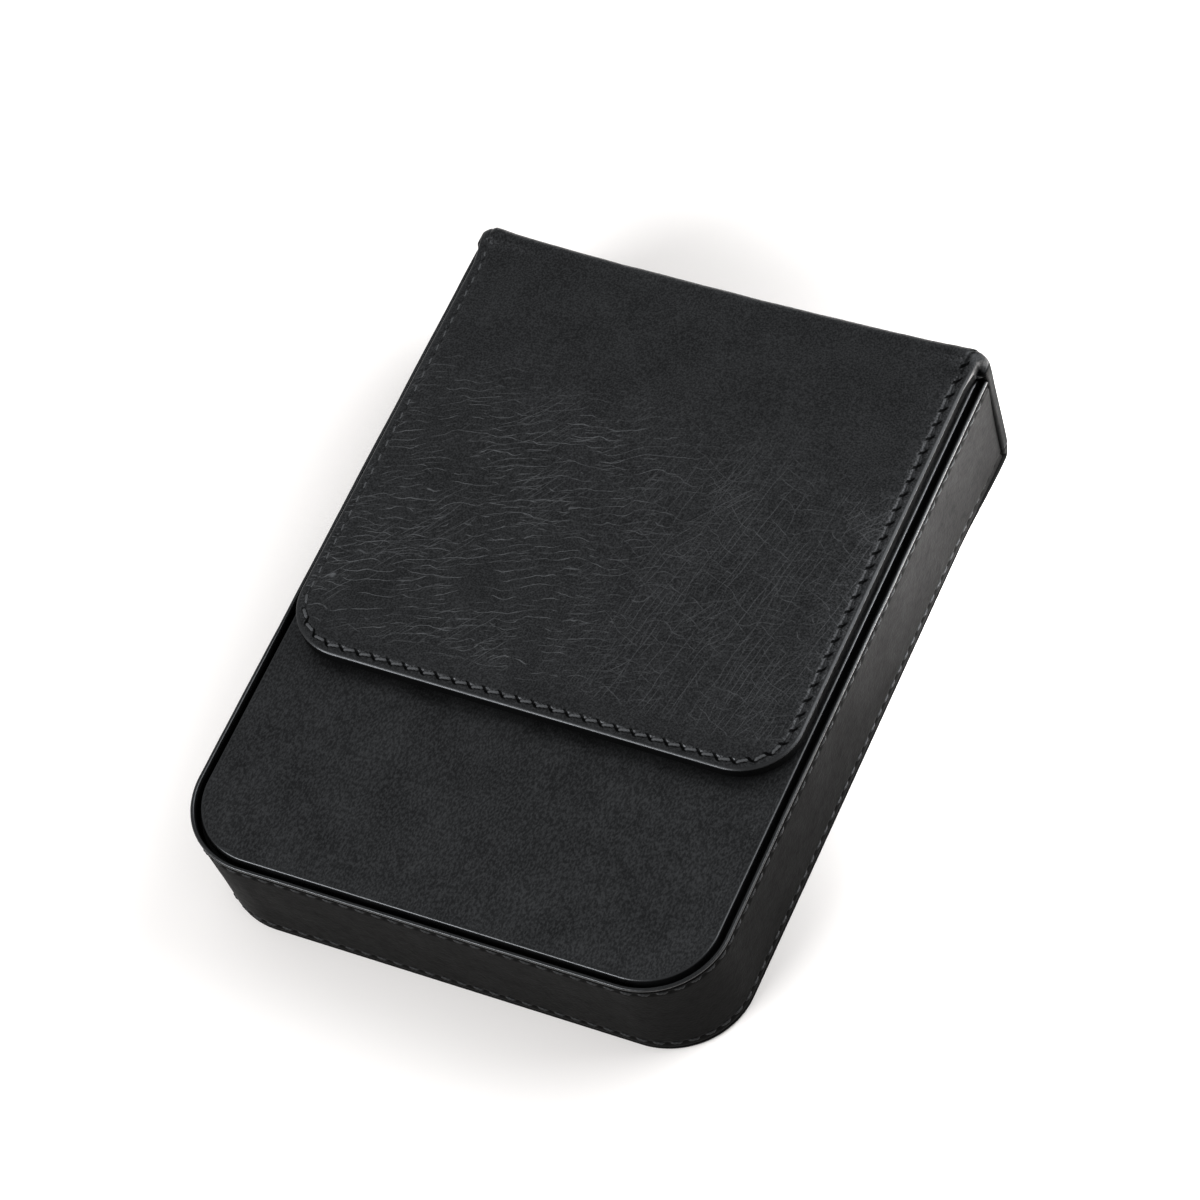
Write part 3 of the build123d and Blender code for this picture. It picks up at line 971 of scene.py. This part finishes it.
def paint(piece, material, *others):
    """Gives a piece its material; others are (material, mark, test of the faces' marks)."""
    mesh = piece.data
    mesh.materials.clear()
    mesh.materials.append(material)
    corners = np.empty(len(mesh.loops), int)
    starts, picks = np.empty(len(mesh.polygons), int), np.zeros(len(mesh.polygons), int)
    mesh.loops.foreach_get("vertex_index", corners)
    mesh.polygons.foreach_get("loop_start", starts)
    counts = np.diff(np.append(starts, len(corners)))
    for slot, (other, name, chosen) in enumerate(others, 1):
        mesh.materials.append(other)
        values = np.empty(3 * len(mesh.vertices))
        mesh.attributes[name].data.foreach_get("vector", values)
        values = values.reshape(-1, 3)[corners]
        picks[chosen(np.add.reduceat(values, starts).T / counts)] = slot
    if others:
        mesh.polygons.foreach_set("material_index", picks)


# ---------------------------------------------------------------- the object
flap_hide, flap_bend, flap_outline, flap_total = make_flap_hide()
back_hide = make_back_hide()
side_wall, wall_outline = make_side_wall()
front_panel = make_front_panel()
flap_thread_pieces = flap_threads(flap_bend, flap_outline, flap_total)
rim_thread = wall_threads("rim_thread", "rim_stitching", wall_outline, RIM_THREAD_Z)
base_thread = wall_threads("base_thread", "base_stitching", wall_outline, BASE_THREAD_Z)
flap_suede = make_flap_lining()
inner_half = spine_lining_high.x - 0.6 * MM
top_strip = strip_piece(
    "top_fold_lining",
    inner_half - 2 * MM,
    [
        (spine_inner - 4.4 * MM, flap_bottom + 0.1 * MM),
        (spine_inner - 1.6 * MM, flap_bottom + 0.15 * MM),
        (spine_inner - 0.5 * MM, flap_bottom - 0.1 * MM),
        (spine_inner - 0.05 * MM, flap_bottom - 1.3 * MM),
        (spine_inner - 0.05 * MM, flap_bottom - 3.3 * MM),
    ],
    0.4 * MM,
)
base_strip = strip_piece(
    "base_fold_lining",
    inner_half - 4 * MM,
    [
        (spine_inner - 1.9 * MM, hide + 2.25 * MM),
        (spine_inner - 0.8 * MM, hide + 2.25 * MM),
        (spine_inner - 0.2 * MM, hide + 2.4 * MM),
        (spine_inner - 0.1 * MM, hide + 3.5 * MM),
        (spine_inner - 0.05 * MM, hide + 6.5 * MM),
    ],
    0.4 * MM,
)

FLAP_LEATHER = leather("flap_leather_glazed", 0.008, 0.36, creased=True)
# the slight warm tint of the case leather is a painted reflection of an olive surround
CASE_LEATHER = leather(
    "case_leather_smooth", 0.007, 0.44, grain=0.4, coat=0, level=0.03, warm=0.04
)
BURNISHED = leather("case_leather_burnished", 0.010, 0.28, grain=0.3, coat=0.3)
EDGE_PAINT = leather("flap_edge_painted", 0.004, 0.5, grain=0.8, coat=0, level=0.06)
EDGE_POLISH = leather("flap_edge_polished", 0.010, 0.32, grain=0.2, coat=0.3)
EDGE_FOLD = leather("flap_edge_fold", 0.007, 0.46, grain=0.6, coat=0.03)
PANEL_LEATHER = leather("panel_leather_fine", 0.010, 0.42, coat=0.1, stretch=1.8)
PANEL_EDGE = leather("panel_edge_polished", 0.010, 0.3, grain=0.2, coat=0.4)
SUEDE = suede("lining_suede", 0.02)
BOARD = board("board_fibre", 0.012)
FOAM = foam("foam_cells", 0.05)
THREAD_WAX = waxed_thread("thread_waxed", 0.01)
# a pale copy of the thread, painted as a highlight
THREAD_PAINTED_HIGHLIGHT = waxed_thread("thread_painted_highlight", 0.06)
STEEL = metal("plate_zinc", 0.5, 0.35, 0.2)
NICKEL = metal("magnet_nickel", 0.65, 0.2, 1.0)

# the edge of the flap's hide: polished, painted below, and plainer round the fold
fold_low, fold_high = flap_bend.fold_start - 2 * MM, flap_bend.fold_end - 0.6 * MM
fold_x, spine_x = flap_half - 0.6 * MM, rim_half - 0.5 * MM
POLISHED_WIDTH = 0.75 * MM
PAINTED_BELOW = -1.4 * MM
PANEL_POLISHED_WIDTH = 0.55 * MM
BURNISHED_HEIGHT = 0.93 * MM
paint(
    flap_hide,
    FLAP_LEATHER,
    (EDGE_POLISH, "seam", lambda seam: seam[1] < POLISHED_WIDTH),
    (EDGE_PAINT, "flat", lambda flat: flat[2] < PAINTED_BELOW),
    (EDGE_FOLD, "flat", lambda p: (p[1] > fold_low) & (p[1] < fold_high) & (abs(p[0]) > fold_x)),
    (EDGE_PAINT, "flat", lambda p: (p[1] > fold_high) & (abs(p[0]) > spine_x)),
)
paint(back_hide, CASE_LEATHER)
burnished_rim = (BURNISHED, "flat", lambda flat: flat[1] > rim_z - BURNISHED_HEIGHT)
paint(side_wall, CASE_LEATHER, burnished_rim)
polished_edge = (PANEL_EDGE, "seam", lambda seam: seam[1] < PANEL_POLISHED_WIDTH)
paint(front_panel, PANEL_LEATHER, polished_edge)
for thread in (rim_thread, base_thread):
    paint(thread, THREAD_WAX)
for thread in flap_thread_pieces:
    # a painted highlight: the thread is painted pale across the free end and down the left side,
    # and keeps its dark wax down the right side
    without_painted_highlight = (THREAD_WAX, "flat", lambda p: (p[0] > 0) & (p[1] > flap_free + 9 * MM))
    paint(thread, THREAD_PAINTED_HIGHLIGHT, without_painted_highlight)
for strip in (flap_suede, top_strip, base_strip):
    paint(strip, SUEDE)
for node, material in {
    "back_board": BOARD,
    "wall_board": BOARD,
    "front_board": BOARD,
    "flap_board": BOARD,
    "spine_board": BOARD,
    "back_lining": SUEDE,
    "wall_lining": SUEDE,
    "front_lining": SUEDE,
    "spine_lining": SUEDE,
    "flap_foam": FOAM,
    "catch_plates": STEEL,
    "flap_magnets": NICKEL,
}.items():
    paint(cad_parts[node], material)


# ---------------------------------------------------------------- camera, floor and light
def make_camera():
    """A long lens that looks down over the rounded end, tilted as the picture is."""
    azimuth, elevation, roll = (math.radians(a) for a in (38.83, 55.73, -17.91))
    across = rim_half * 2
    distance = 9.115 * across
    target = Vector((-0.082 * across, rim_end + 0.8189 * across, 0))
    level = math.cos(elevation)
    back = Vector((math.sin(azimuth) * level, -math.cos(azimuth) * level, math.sin(elevation)))
    turn = (-back).to_track_quat("-Z", "Y").to_matrix() @ Matrix.Rotation(roll, 3, "Z")
    data = bpy.data.cameras.new("camera")
    data.lens = 153.4
    data.sensor_width = 36
    camera = bpy.data.objects.new("camera", data)
    bpy.context.scene.collection.objects.link(camera)
    camera.matrix_world = Matrix.Translation(target + back * distance) @ turn.to_4x4()
    bpy.context.scene.camera = camera


def soft_light(name, place, aim, size, power, tint=(1, 1, 1)):
    data = bpy.data.lights.new(name, "AREA")
    data.shape = "RECTANGLE"
    data.size, data.size_y = size
    data.energy = power
    data.color = tint
    light = bpy.data.objects.new(name, data)
    bpy.context.scene.collection.objects.link(light)
    light.location = place
    light.rotation_mode = "QUATERNION"
    light.rotation_quaternion = (Vector(aim) - Vector(place)).to_track_quat("-Z", "Y")


FLOOR_HALF = 3.0


def make_floor():
    half = FLOOR_HALF
    verts = [(-half, -half, 0), (half, -half, 0), (half, half, 0), (-half, half, 0)]
    floor = mesh_piece("floor", verts, [(0, 1, 2, 3)])
    floor.location.z = cad_low.z - 0.05 * MM
    m = Nodes("floor_white")
    speckle = m.noise(m.add("TexCoord", output=3), 0.4, 2.0)
    m.set(Base_Color=m.mix(speckle, grey(0.84, 0.05), grey(0.86, 0.05)), Roughness=0.9)
    paint(floor, m.material)


make_camera()
make_floor()
cool = (0.93, 0.96, 1.0)
WORLD_STRENGTH = 0.5
soft_light("right_window", (0.62, 0.54, 0.62), (0, 0.01, 0.02), (0.9, 0.9), 7, cool)
soft_light("front_window", (-0.42, -0.78, 0.62), (0, 0.0, 0.02), (0.7, 0.5), 9.5, cool)
soft_light("low_lamp", (0.115, 0.088, 0.037), (0.115, 0.087, 0), (0.06, 0.13), 0.35, cool)
world = bpy.data.worlds.new("studio")
world.use_nodes = True
world.node_tree.nodes["Background"].inputs[0].default_value = (*cool, 1)
world.node_tree.nodes["Background"].inputs[1].default_value = WORLD_STRENGTH
scene = bpy.context.scene
scene.world = world
scene.view_settings.view_transform = "Standard"
scene.view_settings.exposure = 0.3
scene.view_settings.gamma = 0.8
